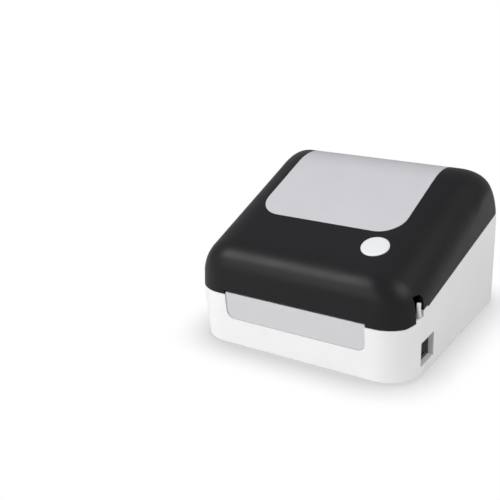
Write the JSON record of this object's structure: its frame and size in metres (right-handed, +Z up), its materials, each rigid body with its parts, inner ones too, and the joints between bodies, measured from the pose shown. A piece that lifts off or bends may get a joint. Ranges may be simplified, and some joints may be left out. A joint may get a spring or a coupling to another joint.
{
  "type": "thermal label printer",
  "caption": "Desktop direct thermal label printer: white base, black hinged cover with a grey window, feed button, release levers, roll holders and platen drive.",
  "frame": {"origin": "middle of the footprint, on the surface that the feet stand on", "axes": "+X to the right seen from the front, -Y out of the front with the label exit, +Z up"},
  "size_m": [0.18, 0.19, 0.1226],
  "materials": {
    "white_abs": "satin moulded",
    "black_abs": "satin moulded",
    "grey_abs": "satin moulded",
    "tray_abs": "matt moulded",
    "smoke_window": "translucent polycarbonate",
    "steel": "zinc plated",
    "spring_steel": "drawn wire",
    "aluminium": "extruded",
    "rubber": "ground rubber",
    "acetal": "moulded acetal",
    "brass": "turned",
    "pcb": "solder mask",
    "black_plastic": "moulded",
    "ceramic": "glazed"
  },
  "bodies": {
    "base": {"base_housing": "white_abs", "bottom_cover": "white_abs", "rubber_feet": "rubber", "front_panel": "grey_abs", "tear_bar": "steel", "media_tray": "tray_abs", "print_frame": "steel", "platen_bush_left": "acetal", "platen_bush_right": "acetal", "stepper_motor": "steel", "idler_stud": "steel", "main_board": "pcb", "board_components": "black_plastic", "usb_socket": "steel", "dc_jack": "black_plastic", "power_switch_body": "black_plastic", "bottom_screws": "steel", "frame_screws": "steel", "board_screws": "steel", "pinion_screw": "steel", "hinge_pin_left": "steel", "hinge_pin_right": "steel", "latch_spring": "spring_steel"},
    "lid": {"top_cover": "black_abs", "lid_window": "smoke_window", "head_bracket": "steel", "head_pivot_rod": "steel", "catch_pin_left": "steel", "catch_pin_right": "steel", "head_screws": "steel", "button_board": "pcb", "button_screws": "steel", "head_spring_left": "spring_steel", "head_spring_right": "spring_steel"},
    "print_head": {"heat_sink": "aluminium", "thermal_head": "ceramic"},
    "feed_button": {"feed_button": "white_abs"},
    "latch": {"latch_shaft": "steel", "release_lever_left": "white_abs", "release_lever_right": "white_abs"},
    "platen": {"platen_roller": "rubber", "platen_shaft": "steel", "platen_gear": "acetal"},
    "idler": {"idler_gear": "acetal"},
    "motor_rotor": {"motor_pinion": "brass"},
    "power_rocker": {"power_rocker": "black_plastic"},
    "left_holder": {"roll_holder_left": "grey_abs"},
    "right_holder": {"roll_holder_right": "grey_abs"},
    "guide_pinion": {"guide_pinion": "acetal"},
    "left_hub": {"roll_hub_left": "tray_abs"},
    "right_hub": {"roll_hub_right": "tray_abs"},
    "gap_sensor": {"gap_sensor": "black_plastic"}
  },
  "joints": [
    {"name": "lid_hinge", "type": "hinge", "parent": "base", "child": "lid", "pos_m": [0, 0.09, 0.0817], "axis": [-1, 0, 0], "range_deg": [0, 85]},
    {"name": "head_float", "type": "hinge", "parent": "lid", "child": "print_head", "pos_m": [0, -0.063, 0.05], "axis": [-1, 0, 0], "range_deg": [0, 2], "stiffness_Nm_per_rad": 3, "springref_deg": -1.15, "deforming": ["head_spring_left", "head_spring_right"]},
    {"name": "feed_button_press", "type": "slide", "parent": "lid", "child": "feed_button", "axis": [0, 0.3387, -0.9409], "range_m": [0, 0.0008], "stiffness_N_per_m": 60, "springref_m": -0.0006},
    {"name": "latch_release", "type": "hinge", "parent": "base", "child": "latch", "pos_m": [0, -0.065, 0.0385], "axis": [-1, 0, 0], "range_deg": [0, 12], "stiffness_Nm_per_rad": 0.05, "springref_deg": -5.73},
    {"name": "platen_spin", "type": "hinge", "parent": "base", "child": "platen", "pos_m": [0, -0.08, 0.0374], "axis": [1, 0, 0], "continuous": true},
    {"name": "idler_spin", "type": "hinge", "parent": "base", "child": "idler", "pos_m": [0, -0.07286, 0.02398], "axis": [1, 0, 0], "continuous": true},
    {"name": "motor_spin", "type": "hinge", "parent": "base", "child": "motor_rotor", "pos_m": [0, -0.05531, 0.02275], "axis": [1, 0, 0], "continuous": true},
    {"name": "power_rocker_tilt", "type": "hinge", "parent": "base", "child": "power_rocker", "pos_m": [0.0805, -0.05775, 0.0183], "axis": [0, 0, 1], "range_deg": [0, 14]},
    {"name": "left_holder_slide", "type": "slide", "parent": "base", "child": "left_holder", "axis": [1, 0, 0], "range_m": [0, 0.034]},
    {"name": "right_holder_slide", "type": "slide", "parent": "base", "child": "right_holder", "axis": [-1, 0, 0], "range_m": [0, 0.034]},
    {"name": "guide_pinion_spin", "type": "hinge", "parent": "base", "child": "guide_pinion", "pos_m": [0, 0.027, 0.0145], "axis": [0, 0, 1], "range_deg": [-1, 250]},
    {"name": "left_hub_spin", "type": "hinge", "parent": "left_holder", "child": "left_hub", "pos_m": [-0.052, 0.027, 0.068], "axis": [1, 0, 0], "continuous": true},
    {"name": "right_hub_spin", "type": "hinge", "parent": "right_holder", "child": "right_hub", "pos_m": [0.052, 0.027, 0.068], "axis": [1, 0, 0], "continuous": true},
    {"name": "gap_sensor_slide", "type": "slide", "parent": "base", "child": "gap_sensor", "axis": [1, 0, 0], "range_m": [0, 0.038]}
  ],
  "couplings": [
    {"joint": "idler_spin", "follows": "platen_spin", "ratio": -1.375},
    {"joint": "motor_spin", "follows": "platen_spin", "ratio": 2.9464},
    {"joint": "right_holder_slide", "follows": "left_holder_slide", "ratio": 1},
    {"joint": "guide_pinion_spin", "follows": "left_holder_slide", "rad_per_m": 125}
  ]
}
